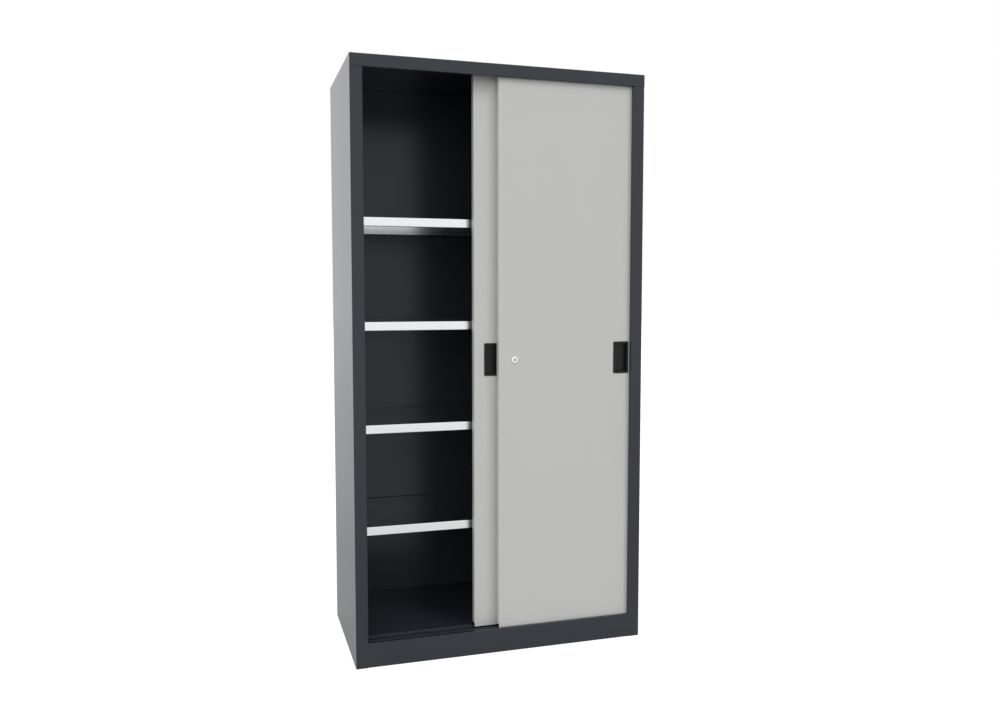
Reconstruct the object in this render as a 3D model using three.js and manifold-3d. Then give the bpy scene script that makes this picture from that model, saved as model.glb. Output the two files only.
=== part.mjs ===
import * as THREE from "three";
import { mergeVertices } from "three/addons/utils/BufferGeometryUtils.js";
import Module from "manifold-3d";

// Sliding door cabinet of folded sheet steel, in millimetres.
// X runs to the right, Y into the cabinet and Z up. The origin is under the middle of its base.

// Overall size
const cabinetWidth = 998;
const cabinetDepth = 518;
const cabinetHeight = 1950;

// Sheet metal of the casing and doors, and the gap between pieces that rest on or in each other
const sheet = 1.2;
const bendRadius = 1;
const fitGap = 0.3;

// Casing: frame round the opening, flanges at the back and under the base
const stileWidth = 40;
const topRailHeight = 40;
const plinthHeight = 80.5;
const frameReturn = 13.5;
const rearFlange = 18;
const baseFlange = 20;

// Floor: the sill in front lies lower, to carry the rails
const floorDrop = 0.5;
const sillDrop = 8.3;
const sillDepth = 67;
const floorFlange = 20;

// Rails under the doors and channels over them
const railWidth = 6;
const railHeight = 6.5;
const railSheet = 1;
const railBend = 0.6;
const channelWidth = 16;
const channelHeight = 20;

// Shelf uprights with their slots
const uprightWidth = 30;
const uprightProjection = 10;
const uprightInset = 45;
const slotPitch = 34;
const slotWidth = 12;
const slotHeight = 4;
const slotMargin = 20;

// Shelves
const shelfCount = 4;
const slotsPerShelf = 10;
const lowestShelfTop = 437.5;
const shelfSetback = 95;
const shelfRearGap = 5;
const shelfEdge = 29;
const shelfLip = 12;
const shelfEndGap = 1.5;
const shelfCorner = 4;

// Shelf clips
const clipPlate = 1.8;
const clipTab = 14;
const clipDrop = 14;
const clipHookDrop = 7;
const clipSideGap = 0.5;
const clipTopGap = 0.5;

// Doors
const doorThickness = 25;
const doorGap = 8;
const doorOverlap = 29;
const doorRunningGap = 1.5;
const doorLip = 12;
const doorTopTuck = 12;
const apronTuck = 1.5;
const apronHeight = 12.5;
const bufferThickness = 6.7;
const bufferHeight = 60;
const rearDoorOpenShare = 0.84;

// Door stiffener, a hat section down the middle of each door
const stiffenerWidth = 40;
const stiffenerFoot = 15;
const stiffenerDepth = 20;
const stiffenerEndGap = 12;

// Door handles: a flush cup with a deeper trough along its right side
const handleWidth = 56.4;
const handleHeight = 109.7;
const handleLevel = 989.5;
const handleEdgeDistance = 63.3;
const handleRim = 7;
const handleRimThickness = 1.5;
const handleCorner = 4;
const handleWall = 1.5;
const cupDepth = 8;
const troughDepth = 13;
const troughWidth = 15;

// Rollers, their brackets and axles
const treadRadius = 12;
const rollerRadius = 15;
const rollerWidth = 10;
const rollerHub = 6;
const rollerSideGap = 0.5;
const rollerEdgeDistance = 60;
const axleRadius = 3;
const boreClearance = 0.1;
const bracketSheet = 2;
const bracketWidth = 44;
const bracketDrop = 7;
const bracketHeadroom = 4;
const bracketGap = 1;

// Top guides
const guideBaseLength = 40;
const guideBaseWidth = 20;
const guideBaseHeight = 4;
const guideTongueLength = 30;
const guideTongueHeight = 14;
const guideSideGap = 0.8;

// Lock in the front door
const lockEdgeDistance = 56;
const lockLevel = 989;
const lockRimRadius = 10.8;
const lockRimHeight = 3.7;
const lockRimBevel = 1.2;
const lockBarrelRadius = 8.5;
const lockBarrelTail = 0.5;
const lockPlugRadius = 6;
const lockPlugRecess = 0.6;
const keyholeWidth = 2.5;
const keyholeLength = 8;
const keyholeDepth = 18;
const lockNutRadius = 13;
const lockNutHeight = 4;
const shankSize = 7;

// Cam behind the front door, its screw, and the strike that it turns against
const camReach = 46;
const camWidth = 13;
const camHubRadius = 9;
const camThickness = 2;
const camRestAngle = 330;
const camLockedAngle = 240;
const screwHeadRadius = 5.5;
const screwHeadHeight = 1.6;
const screwRadius = 2;
const screwLength = 8;
const strikeGap = 0.8;
const strikeWidth = 5;
const strikeHeight = 14;
const strikeFoot = 16;
const strikeClearance = 1;

// Fineness of curves, and how far a cut runs past what it cuts
const bendSteps = 4;
const roundSides = 24;
const cornerSteps = 6;
const nutSides = 6;
const overrun = 5;
const mergeDistance = 0.0001;

// Planes that the pieces share
const halfWidth = cabinetWidth / 2;
const frontY = -cabinetDepth / 2;
const backY = cabinetDepth / 2;
const fold = sheet + bendRadius;
const innerX = halfWidth - sheet - fitGap;
const backPanelFront = backY - 2 * sheet - fitGap;
const floorTop = plinthHeight - floorDrop;
const sillTop = plinthHeight - sillDrop;
const railTop = sillTop + fitGap + railHeight;
const channelTop = cabinetHeight - sheet - fitGap;
const railLower = cabinetHeight - topRailHeight;

// Door places: each door is drawn about the middle of its own face and then put in its track
const frontDoorFace = frontY + frameReturn + doorRunningGap;
const rearDoorFace = frontDoorFace + doorThickness + doorGap;
const doorEdgeGap = sheet + fitGap + bufferThickness + fitGap;
const doorWidth = (cabinetWidth + doorOverlap) / 2 - doorEdgeGap;
const halfDoor = doorWidth / 2;
const closedCentre = halfWidth - doorEdgeGap - halfDoor;
const rearDoorCentre = closedCentre * (2 * rearDoorOpenShare - 1);
const doorBottom = plinthHeight - apronTuck;
const doorFlangeBottom = doorBottom + apronHeight;
const doorTop = railLower + doorTopTuck;
const doorBack = doorThickness;
const doorMiddle = doorThickness / 2;

// Shelf places
const shelfPitch = slotPitch * slotsPerShelf;
const shelfFront = frontY + shelfSetback;
const shelfBack = backPanelFront - shelfRearGap;
const uprightFace = innerX - uprightProjection;
const shelfHalf = uprightFace - shelfEndGap;
const lowestClipTop = lowestShelfTop - shelfEdge - fitGap;

const wasm = await Module();
wasm.setup();

// Materials
function finish(color, roughness, metalness) {
  return new THREE.MeshStandardMaterial({ color, roughness, metalness });
}
const anthracite = finish(0x44484e, 0.42, 0.1);
const lightGrey = finish(0xd3d4d1, 0.45, 0.05);
const galvanised = finish(0xd8dadb, 0.28, 0.9);
const blackPlastic = finish(0x1b1c1d, 0.5, 0);
const nylon = finish(0xe6e3da, 0.5, 0);
const rubber = finish(0x232323, 0.85, 0);
const nickel = finish(0xe2e2df, 0.25, 0.95);

// Booleans on closed geometries
function toSolid(geometry) {
  const bare = geometry.index ? geometry.toNonIndexed() : geometry.clone();
  bare.deleteAttribute("normal");
  bare.deleteAttribute("uv");
  const merged = mergeVertices(bare, mergeDistance);
  const triVerts = new Uint32Array(merged.index.array);
  return new wasm.Manifold(
    new wasm.Mesh({ numProp: 3, vertProperties: merged.attributes.position.array, triVerts }),
  );
}

function toGeometry(solid) {
  const mesh = solid.getMesh();
  const geometry = new THREE.BufferGeometry();
  geometry.setAttribute("position", new THREE.BufferAttribute(mesh.vertProperties, mesh.numProp));
  geometry.setIndex(new THREE.BufferAttribute(mesh.triVerts, 1));
  const faceted = geometry.toNonIndexed();
  faceted.computeVertexNormals();
  return faceted;
}

function join(first, ...others) {
  return toGeometry(others.reduce((whole, other) => whole.add(toSolid(other)), toSolid(first)));
}

function cut(body, ...tools) {
  return toGeometry(tools.reduce((rest, tool) => rest.subtract(toSolid(tool)), toSolid(body)));
}

// Sets one coordinate of every vertex to the low or the high end, so that flush faces are exactly flush
function setEnds(geometry, axis, middle, [low, high]) {
  const position = geometry.attributes.position;
  const component = { x: 0, y: 1, z: 2 }[axis];
  for (let i = 0; i < position.count; i += 1) {
    position.setComponent(i, component, position.getComponent(i, component) > middle ? high : low);
  }
  return geometry;
}

// Puts a shape drawn in the plane across an axis along that axis
const across = {
  x: new THREE.Matrix4().makeBasis(
    new THREE.Vector3(0, 1, 0),
    new THREE.Vector3(0, 0, 1),
    new THREE.Vector3(1, 0, 0),
  ),
  y: new THREE.Matrix4().makeBasis(
    new THREE.Vector3(1, 0, 0),
    new THREE.Vector3(0, 0, 1),
    new THREE.Vector3(0, -1, 0),
  ),
  z: new THREE.Matrix4(),
};

// A shape in Y and Z runs along X, one in X and Z along Y, and one in X and Y along Z
function extrude(axis, shape, from, to) {
  const geometry = new THREE.ExtrudeGeometry(shape, {
    depth: to - from,
    bevelEnabled: false,
    curveSegments: cornerSteps,
  });
  const ends = axis === "y" ? [-to, -from] : [from, to];
  setEnds(geometry, "z", (to - from) / 2, ends);
  return geometry.applyMatrix4(across[axis]);
}

// A block between two values on each axis, given in either order
function block(xs, ys, zs) {
  const geometry = new THREE.BoxGeometry();
  [xs, ys, zs].forEach((span, i) => setEnds(geometry, "xyz"[i], 0, [Math.min(...span), Math.max(...span)]));
  return geometry;
}

// A round bar along Y
function bar(radius, fromY, toY, x, z, sides = roundSides) {
  const geometry = new THREE.CylinderGeometry(radius, radius, toY - fromY, sides).translate(x, 0, z);
  return setEnds(geometry, "y", 0, [fromY, toY]);
}

// A ring turned about Y: its section is closed, in radii and places along the axis
function turned(section) {
  return new THREE.LatheGeometry(
    section.map(([radius, along]) => new THREE.Vector2(radius, along)),
    roundSides,
  );
}

// Folded sheet in section: the path follows one face and the metal lies on the left of it
function folded(path, thickness = sheet, radius = bendRadius) {
  const points = path.map(([first, second]) => new THREE.Vector2(first, second));
  const leftOf = (direction) => new THREE.Vector2(-direction.y, direction.x);
  const face = [];
  const back = [];
  points.forEach((corner, i) => {
    const before = i > 0 && corner.clone().sub(points[i - 1]).normalize();
    const after = i < points.length - 1 && points[i + 1].clone().sub(corner).normalize();
    if (!before || !after) {
      face.push(corner);
      back.push(corner.clone().addScaledVector(leftOf(before || after), thickness));
      return;
    }
    const turn = Math.sign(before.cross(after));
    const angle = Math.acos(before.dot(after));
    const faceRadius = turn > 0 ? radius + thickness : radius;
    const backRadius = turn > 0 ? radius : radius + thickness;
    const start = corner.clone().addScaledVector(before, -faceRadius * Math.tan(angle / 2));
    const centre = start.clone().addScaledVector(leftOf(before), turn * faceRadius);
    for (let step = 0; step <= bendSteps; step += 1) {
      const spoke = start.clone().sub(centre).normalize();
      spoke.rotateAround(new THREE.Vector2(), (turn * angle * step) / bendSteps);
      face.push(centre.clone().addScaledVector(spoke, faceRadius));
      back.push(centre.clone().addScaledVector(spoke, backRadius));
    }
  });
  return new THREE.Shape([...face, ...back.reverse()]);
}

// A section drawn for the right side, or its mirror image for the left
const sectionOn = (side, path) => (side > 0 ? path : path.map(([x, other]) => [-x, other]).reverse());

function piece(parent, name, geometry, material) {
  const mesh = new THREE.Mesh(geometry, material);
  mesh.name = name;
  parent.add(mesh);
  return mesh;
}

const sides = [
  { label: "left", sign: -1 },
  { label: "right", sign: 1 },
];

const cabinet = new THREE.Group();

// Side panels: stile and its return in front, flanges behind and under, cleared for the roof at the top
function sidePanel(sign) {
  const wall = extrude(
    "z",
    folded(
      sectionOn(sign, [
        [halfWidth - stileWidth, frontY + frameReturn],
        [halfWidth - stileWidth, frontY],
        [halfWidth, frontY],
        [halfWidth, backY],
        [halfWidth - rearFlange, backY],
      ]),
    ),
    0,
    cabinetHeight - sheet - fitGap,
  );
  const foot = block(
    [sign * (halfWidth - sheet / 2), sign * (halfWidth - baseFlange)],
    [frontY + frameReturn + fitGap, backPanelFront - fitGap],
    [0, sheet],
  );
  const roofNotch = (edgeY, inward, reach, depth, lowZ) => [
    block(
      [sign * (halfWidth + overrun), sign * (halfWidth - reach - overrun)],
      [edgeY - inward * overrun, edgeY + inward * (sheet + fitGap)],
      [lowZ - fitGap, cabinetHeight + overrun],
    ),
    block(
      [sign * (halfWidth - sheet), sign * (halfWidth - reach - overrun)],
      [edgeY - inward * overrun, edgeY + inward * (depth + overrun)],
      [lowZ - fitGap, cabinetHeight + overrun],
    ),
  ];
  return cut(
    join(wall, foot),
    ...roofNotch(frontY, 1, stileWidth, frameReturn, railLower),
    ...roofNotch(backY, -1, rearFlange, fold, cabinetHeight - rearFlange),
  );
}
sides.forEach(({ label, sign }) => piece(cabinet, `${label}_side_panel`, sidePanel(sign), anthracite));

// Roof: its front rail covers the tops of both stiles, its rear flange hangs behind the back panel
function roofPanel() {
  const pan = extrude(
    "x",
    folded([
      [backY, cabinetHeight - rearFlange],
      [backY, cabinetHeight],
      [frontY, cabinetHeight],
      [frontY, railLower],
      [frontY + frameReturn, railLower],
    ]),
    -halfWidth,
    halfWidth,
  );
  const wallSlots = sides.map(({ sign }) =>
    block(
      [sign * innerX, sign * (halfWidth + overrun)],
      [frontY + sheet, backY - sheet],
      [railLower - overrun, cabinetHeight - sheet],
    ),
  );
  return cut(pan, ...wallSlots);
}
piece(cabinet, "roof_panel", roofPanel(), anthracite);

// Back panel: a flat sheet inside the rear flanges
const backPanelEdge = halfWidth - fold - fitGap;
piece(
  cabinet,
  "back_panel",
  block(
    [-backPanelEdge, backPanelEdge],
    [backPanelFront, backPanelFront + sheet],
    [0, cabinetHeight - fold - fitGap],
  ),
  anthracite,
);

// Plinth: between the stiles, with a lip down to the sill and a flange on the ground
piece(
  cabinet,
  "plinth_panel",
  extrude(
    "x",
    folded([
      [frontY + frameReturn, sillTop + fitGap],
      [frontY + frameReturn, plinthHeight],
      [frontY, plinthHeight],
      [frontY, 0],
      [frontY + baseFlange, 0],
    ]),
    -(halfWidth - stileWidth - fitGap),
    halfWidth - stileWidth - fitGap,
  ),
  anthracite,
);

// Floor: steps down to the sill in front, with flanges down all round, notched for the stiles
function floorPanel() {
  const sillFront = frontY + sheet + fitGap;
  const floorFront = frontY + sillDepth;
  const floorBack = backPanelFront - fitGap;
  const pan = extrude(
    "x",
    folded([
      [floorBack, floorTop - floorFlange],
      [floorBack, floorTop],
      [floorFront, floorTop],
      [floorFront, sillTop],
      [sillFront, sillTop],
      [sillFront, sillTop - floorFlange],
    ]),
    -innerX,
    innerX,
  );
  const sideFlanges = sides.map(({ sign }) =>
    block(
      [sign * innerX, sign * (innerX - sheet)],
      [floorFront + fold, floorBack - fold],
      [floorTop - floorFlange, floorTop - sheet / 2],
    ),
  );
  const stileNotches = sides.map(({ sign }) =>
    block(
      [sign * (halfWidth - stileWidth - fitGap), sign * (halfWidth + overrun)],
      [frontY - overrun, frontY + frameReturn + fitGap],
      [0, plinthHeight],
    ),
  );
  return cut(join(pan, ...sideFlanges), ...stileNotches);
}
piece(cabinet, "floor_panel", floorPanel(), anthracite);

// Tracks: a raised rail on the sill and a channel under the roof, over each door's middle
const tracks = [
  { label: "front", middle: frontDoorFace + doorMiddle },
  { label: "rear", middle: rearDoorFace + doorMiddle },
];

const upturned = (middle, width, bottom, top) => [
  [middle + width / 2, bottom],
  [middle + width / 2, top],
  [middle - width / 2, top],
  [middle - width / 2, bottom],
];

tracks.forEach(({ label, middle }) => {
  const railSection = folded(upturned(middle, railWidth, sillTop + fitGap, railTop), railSheet, railBend);
  piece(cabinet, `${label}_bottom_rail`, extrude("x", railSection, -innerX, innerX), anthracite);
  const channelSection = folded(upturned(middle, channelWidth, channelTop - channelHeight, channelTop));
  piece(cabinet, `${label}_top_channel`, extrude("x", channelSection, -innerX, innerX), galvanised);
});

// Door buffers: rubber strips on the side walls that stop both doors
sides.forEach(({ label, sign }) =>
  piece(
    cabinet,
    `${label}_door_buffer`,
    block(
      [sign * innerX, sign * (innerX - bufferThickness)],
      [frontDoorFace + sheet, rearDoorFace + doorBack - sheet],
      [handleLevel - bufferHeight / 2, handleLevel + bufferHeight / 2],
    ),
    rubber,
  ),
);

// Uprights: slotted channels on the side walls, open towards the wall
const uprights = [
  { label: "front", middle: shelfFront + uprightInset },
  { label: "rear", middle: shelfBack - uprightInset },
];
const uprightBottom = floorTop + fitGap;
const slotsBelow = Math.floor((lowestClipTop - uprightBottom - slotMargin) / slotPitch);
const slotsAbove = Math.floor((railLower - lowestClipTop - slotMargin) / slotPitch);
const slotLevels = Array.from(
  { length: slotsBelow + slotsAbove + 1 },
  (_, i) => lowestClipTop + clipTopGap + (i - slotsBelow) * slotPitch,
);

function upright(sign, middle) {
  const channel = extrude(
    "z",
    folded(
      sectionOn(sign, [
        [innerX, middle + uprightWidth / 2],
        [uprightFace, middle + uprightWidth / 2],
        [uprightFace, middle - uprightWidth / 2],
        [innerX, middle - uprightWidth / 2],
      ]),
    ),
    uprightBottom,
    railLower,
  );
  const slots = slotLevels.map((top) =>
    block(
      [sign * (uprightFace - overrun), sign * (uprightFace + sheet + bendRadius / 2)],
      [middle - slotWidth / 2, middle + slotWidth / 2],
      [top - slotHeight, top],
    ),
  );
  return cut(channel, ...slots);
}

// Shelf clips: hooked through a slot, with a tab under the shelf's end lip
function shelfClip(sign, middle, top) {
  const hookFace = sheet + fitGap;
  const outline = [
    [clipTab, 0],
    [-hookFace - clipPlate, 0],
    [-hookFace - clipPlate, -clipHookDrop],
    [-hookFace, -clipHookDrop],
    [-hookFace, -clipPlate],
    [fitGap, -clipPlate],
    [fitGap, -clipDrop],
    [fitGap + clipPlate, -clipDrop],
    [fitGap + clipPlate, -clipPlate],
    [clipTab, -clipPlate],
  ].map(([inward, up]) => new THREE.Vector2(sign * (uprightFace - inward), top + up));
  const halfClip = slotWidth / 2 - clipSideGap;
  return extrude("y", new THREE.Shape(outline), middle - halfClip, middle + halfClip);
}

sides.forEach(({ label: sideLabel, sign }) =>
  uprights.forEach(({ label, middle }) =>
    piece(cabinet, `${label}_${sideLabel}_upright`, upright(sign, middle), galvanised),
  ),
);

// Shelves: pans folded down on all four sides, with lips turned in underneath
function shelf(top) {
  const bottom = top - shelfEdge;
  const pan = extrude(
    "x",
    folded([
      [shelfBack - shelfLip, bottom],
      [shelfBack, bottom],
      [shelfBack, top],
      [shelfFront, top],
      [shelfFront, bottom],
      [shelfFront + shelfLip, bottom],
    ]),
    -shelfHalf,
    shelfHalf,
  );
  const endSpan = [shelfFront + shelfCorner, shelfBack - shelfCorner];
  const ends = sides.flatMap(({ sign }) => [
    block([sign * shelfHalf, sign * (shelfHalf - sheet)], endSpan, [bottom, top - sheet / 2]),
    block([sign * shelfHalf, sign * (shelfHalf - shelfLip)], endSpan, [bottom, bottom + sheet]),
  ]);
  return join(pan, ...ends);
}

for (let number = 1; number <= shelfCount; number += 1) {
  const lift = (number - 1) * shelfPitch;
  piece(cabinet, `shelf_${number}`, shelf(lowestShelfTop + lift), galvanised);
  sides.forEach(({ label: sideLabel, sign }) =>
    uprights.forEach(({ label, middle }) =>
      piece(
        cabinet,
        `shelf_${number}_clip_${label}_${sideLabel}`,
        shelfClip(sign, middle, lowestClipTop + lift),
        galvanised,
      ),
    ),
  );
}

// Handle cup, drawn about the middle of its rim: its tray goes through the door's skin
const rimFront = -fitGap - handleRimThickness;
const openingHalfWidth = handleWidth / 2 - handleRim;
const openingHalfHeight = handleHeight / 2 - handleRim;
const troughEdge = openingHalfWidth - troughWidth;

function roundedRectangle(halfX, halfZ, radius, x, z) {
  const shape = new THREE.Shape();
  const corners = [
    [1, -1],
    [1, 1],
    [-1, 1],
    [-1, -1],
  ];
  corners.forEach(([signX, signZ], i) => {
    const start = ((i - 1) * Math.PI) / 2;
    const centreX = x + signX * (halfX - radius);
    const centreZ = z + signZ * (halfZ - radius);
    shape.absarc(centreX, centreZ, radius, start, start + Math.PI / 2);
  });
  return shape;
}

function handleCup(x) {
  const rim = extrude(
    "y",
    roundedRectangle(handleWidth / 2, handleHeight / 2, handleCorner, x, handleLevel),
    rimFront,
    -fitGap,
  );
  const hollow = (fromX, toX, depth, wall) =>
    block(
      [x + fromX - wall, x + toX + wall],
      [wall > 0 ? rimFront + handleRimThickness / 2 : rimFront - overrun, depth + wall],
      [handleLevel - openingHalfHeight - wall, handleLevel + openingHalfHeight + wall],
    );
  const shallow = [-openingHalfWidth, openingHalfWidth, cupDepth];
  const trough = [troughEdge, openingHalfWidth, troughDepth];
  const tray = join(rim, hollow(...shallow, handleWall), hollow(...trough, handleWall));
  return cut(tray, hollow(...shallow, 0), hollow(...trough, 0));
}

// Door panel: a pan with side, top and bottom flanges, and an apron in front of the rollers
const rollerOffset = halfDoor - rollerEdgeDistance;
const rollerCentres = sides.map(({ label, sign }) => ({ label, x: sign * rollerOffset }));
const bracketHalf = bracketWidth / 2;
const lockX = -halfDoor + lockEdgeDistance;

function doorPanel(handleX, holes) {
  const pan = extrude(
    "z",
    folded([
      [-halfDoor + doorLip, doorBack],
      [-halfDoor, doorBack],
      [-halfDoor, 0],
      [halfDoor, 0],
      [halfDoor, doorBack],
      [halfDoor - doorLip, doorBack],
    ]),
    doorFlangeBottom,
    doorTop,
  );
  const flangeSpan = [-halfDoor + sheet / 2, halfDoor - sheet / 2];
  const topFlange = block(flangeSpan, [sheet / 2, doorBack], [doorTop - sheet, doorTop]);
  const bottomFlange = block(
    flangeSpan,
    [sheet / 2, doorBack],
    [doorFlangeBottom, doorFlangeBottom + sheet],
  );
  const apron = block(
    [-halfDoor + sheet, halfDoor - sheet],
    [0, sheet],
    [doorBottom, doorFlangeBottom + fold],
  );
  const bracketGaps = rollerCentres.map(({ x }) =>
    block(
      [x - bracketHalf - bracketGap, x + bracketHalf + bracketGap],
      [sheet, doorBack + overrun],
      [doorBottom, doorFlangeBottom + fold],
    ),
  );
  const trayHalfWidth = openingHalfWidth + handleWall + fitGap;
  const trayHalfHeight = openingHalfHeight + handleWall + fitGap;
  const handleHole = block(
    [handleX - trayHalfWidth, handleX + trayHalfWidth],
    [-overrun, sheet + overrun],
    [handleLevel - trayHalfHeight, handleLevel + trayHalfHeight],
  );
  return cut(join(pan, topFlange, bottomFlange, apron), ...bracketGaps, handleHole, ...holes);
}

// Door stiffener: a hat section behind the skin
const stiffenerHalf = stiffenerWidth / 2;
const stiffenerFace = sheet + fitGap;
const stiffener = () =>
  extrude(
    "z",
    folded([
      [-stiffenerHalf - stiffenerFoot, stiffenerFace],
      [-stiffenerHalf, stiffenerFace],
      [-stiffenerHalf, stiffenerFace + stiffenerDepth],
      [stiffenerHalf, stiffenerFace + stiffenerDepth],
      [stiffenerHalf, stiffenerFace],
      [stiffenerHalf + stiffenerFoot, stiffenerFace],
    ]),
    doorFlangeBottom + sheet + stiffenerEndGap,
    doorTop - sheet - stiffenerEndGap,
  );

// Roller bracket: an inverted U over the roller, with the axle riveted through both cheeks
const axleLevel = railTop + fitGap + treadRadius;
const cheekFront = sheet + fitGap;
const cheekBack = doorThickness - cheekFront;

function rollerBracket(x) {
  const cheeks = extrude(
    "x",
    folded(
      upturned(
        doorMiddle,
        cheekBack - cheekFront,
        axleLevel - bracketDrop,
        axleLevel + rollerRadius + bracketHeadroom + bracketSheet,
      ),
      bracketSheet,
    ),
    x - bracketHalf,
    x + bracketHalf,
  );
  const axle = bar(axleRadius, cheekFront + bracketSheet / 2, cheekBack - bracketSheet / 2, x, axleLevel);
  return join(cheeks, axle);
}

// Grooved roller, turned about its axle: two flanges guide it on the rail
function rollerWheel() {
  const hubEnd = (cheekBack - cheekFront) / 2 - bracketSheet - rollerSideGap;
  const groove = railWidth / 2 + rollerSideGap;
  const halfSection = [
    [axleRadius + boreClearance, hubEnd],
    [rollerHub, hubEnd],
    [rollerHub, rollerWidth / 2],
    [rollerRadius, rollerWidth / 2],
    [rollerRadius, groove],
    [treadRadius, groove],
  ];
  const frontHalf = halfSection.map(([radius, along]) => [radius, -along]);
  return turned([...frontHalf, ...halfSection.toReversed(), frontHalf[0]]);
}

// Top guide: a nylon shoe on the door's top flange, with a tongue in the channel
function topGuide(x) {
  const baseBottom = doorTop + fitGap;
  const baseTop = baseBottom + guideBaseHeight;
  const tongueHalf = channelWidth / 2 - sheet - guideSideGap;
  const base = block(
    [x - guideBaseLength / 2, x + guideBaseLength / 2],
    [doorMiddle - guideBaseWidth / 2, doorMiddle + guideBaseWidth / 2],
    [baseBottom, baseTop],
  );
  const tongue = block(
    [x - guideTongueLength / 2, x + guideTongueLength / 2],
    [doorMiddle - tongueHalf, doorMiddle + tongueHalf],
    [baseBottom, baseTop + guideTongueHeight],
  );
  return join(base, tongue);
}

// What both doors carry, drawn about the middle of the door's face
function buildDoor(label, centre, face, handleX, holes) {
  const door = new THREE.Group();
  door.position.set(centre, face, 0);
  cabinet.add(door);
  piece(door, `${label}_door_panel`, doorPanel(handleX, holes), lightGrey);
  piece(door, `${label}_door_stiffener`, stiffener(), lightGrey);
  piece(door, `${label}_door_handle`, handleCup(handleX), blackPlastic);
  rollerCentres.forEach(({ label: end, x }) => {
    piece(door, `${label}_door_roller_bracket_${end}`, rollerBracket(x), galvanised);
    piece(door, `${label}_door_roller_${end}`, rollerWheel(), nylon).position.set(x, doorMiddle, axleLevel);
    piece(door, `${label}_door_guide_${end}`, topGuide(x), nylon);
  });
  return door;
}

const handleOffset = halfDoor - handleEdgeDistance;
const barrelHole = bar(lockBarrelRadius + fitGap, -overrun, sheet + overrun, lockX, lockLevel);
const rearDoor = buildDoor("rear", rearDoorCentre, rearDoorFace, -handleOffset, []);
const frontDoor = buildDoor("front", closedCentre, frontDoorFace, handleOffset, [barrelHole]);

// Lock, drawn about its own axis: housing with its rim, plug with the keyhole, and the nut behind the skin
const lock = new THREE.Group();
lock.position.set(lockX, 0, lockLevel);
frontDoor.add(lock);

const barrelEnd = doorBack + lockBarrelTail;
const lockRimFront = -fitGap - lockRimHeight;
const plugBore = lockPlugRadius + boreClearance;
piece(
  lock,
  "lock_housing",
  turned([
    [plugBore, lockRimFront],
    [lockRimRadius - lockRimBevel, lockRimFront],
    [lockRimRadius, lockRimFront + lockRimBevel],
    [lockRimRadius, -fitGap],
    [lockBarrelRadius, -fitGap],
    [lockBarrelRadius, barrelEnd],
    [plugBore, barrelEnd],
    [plugBore, lockRimFront],
  ]),
  nickel,
);

const camFront = barrelEnd + fitGap;
const camBack = camFront + camThickness;
const shankEnd = camBack + fitGap / 2;
const plugFront = lockRimFront + lockPlugRecess;
const halfShank = shankSize / 2;
piece(
  lock,
  "lock_plug",
  cut(
    join(
      bar(lockPlugRadius, plugFront, barrelEnd, 0, 0),
      block([-halfShank, halfShank], [barrelEnd - overrun, shankEnd], [-halfShank, halfShank]),
    ),
    block(
      [-keyholeWidth / 2, keyholeWidth / 2],
      [plugFront - overrun, plugFront + keyholeDepth],
      [-keyholeLength / 2, keyholeLength / 2],
    ),
    bar(screwRadius + fitGap, shankEnd - screwLength, shankEnd + overrun, 0, 0),
  ),
  nickel,
);

const nutHole = bar(lockBarrelRadius + fitGap, 0, lockNutHeight + 2 * overrun, 0, 0);
const nutFace = sheet + fitGap;
piece(
  lock,
  "lock_nut",
  cut(bar(lockNutRadius, nutFace, nutFace + lockNutHeight, 0, 0, nutSides), nutHole),
  galvanised,
);

// Cam: a flat arm on the plug's square shank, pointing right and down while the lock is open
function camPlate() {
  const angle = THREE.MathUtils.degToRad(camRestAngle);
  const tip = new THREE.Vector2(Math.cos(angle), Math.sin(angle)).multiplyScalar(camReach);
  const turn = new THREE.Matrix4().makeRotationY(-angle);
  const arm = block([0, camReach], [camFront, camBack], [-camWidth / 2, camWidth / 2]).applyMatrix4(turn);
  const hub = bar(camHubRadius, camFront, camBack, 0, 0);
  const end = bar(camWidth / 2, camFront, camBack, tip.x, tip.y);
  const hole = halfShank + fitGap;
  const shankHole = block([-hole, hole], [camFront - overrun, camBack + overrun], [-hole, hole]);
  return cut(join(hub, arm, end), shankHole);
}
piece(lock, "lock_cam", camPlate(), galvanised);

const screwFace = shankEnd + fitGap;
piece(
  lock,
  "lock_cam_screw",
  join(
    bar(screwHeadRadius, screwFace, screwFace + screwHeadHeight, 0, 0),
    bar(screwRadius, screwFace - screwLength + fitGap, screwFace + screwHeadHeight / 2, 0, 0),
  ),
  galvanised,
);

// Strike: a lug on the rear door's face, just left of the cam's end when both doors are closed and locked
function lockStrike() {
  const locked = THREE.MathUtils.degToRad(camLockedAngle);
  const lockAxis = 2 * closedCentre + lockX;
  const strikeX = lockAxis + camReach * Math.cos(locked) - camWidth / 2 - strikeGap;
  const strikeZ = lockLevel + camReach * Math.sin(locked);
  const lugBack = -fitGap;
  const lugFront = -doorGap + strikeClearance;
  const zs = [strikeZ - strikeHeight / 2, strikeZ + strikeHeight / 2];
  const lug = block([strikeX - sheet, strikeX], [lugFront, lugBack], zs);
  const foot = block([strikeX - strikeFoot, strikeX], [lugBack - sheet, lugBack], zs);
  const stop = block([strikeX - strikeWidth, strikeX], [lugFront, lugFront + sheet], zs);
  return join(lug, foot, stop);
}
piece(rearDoor, "lock_strike", lockStrike(), galvanised);

export default cabinet;
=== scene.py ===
"""A sliding door cabinet of folded sheet steel, in metres, with +Z up and its front towards -Y.

It follows the cabinet as it is put together: casing, uprights and shelves, then the doors, their handles,
rollers and guides, and last the lock.
"""

import cmath
import math

import bmesh
import bpy
from mathutils import Matrix, Vector


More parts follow.
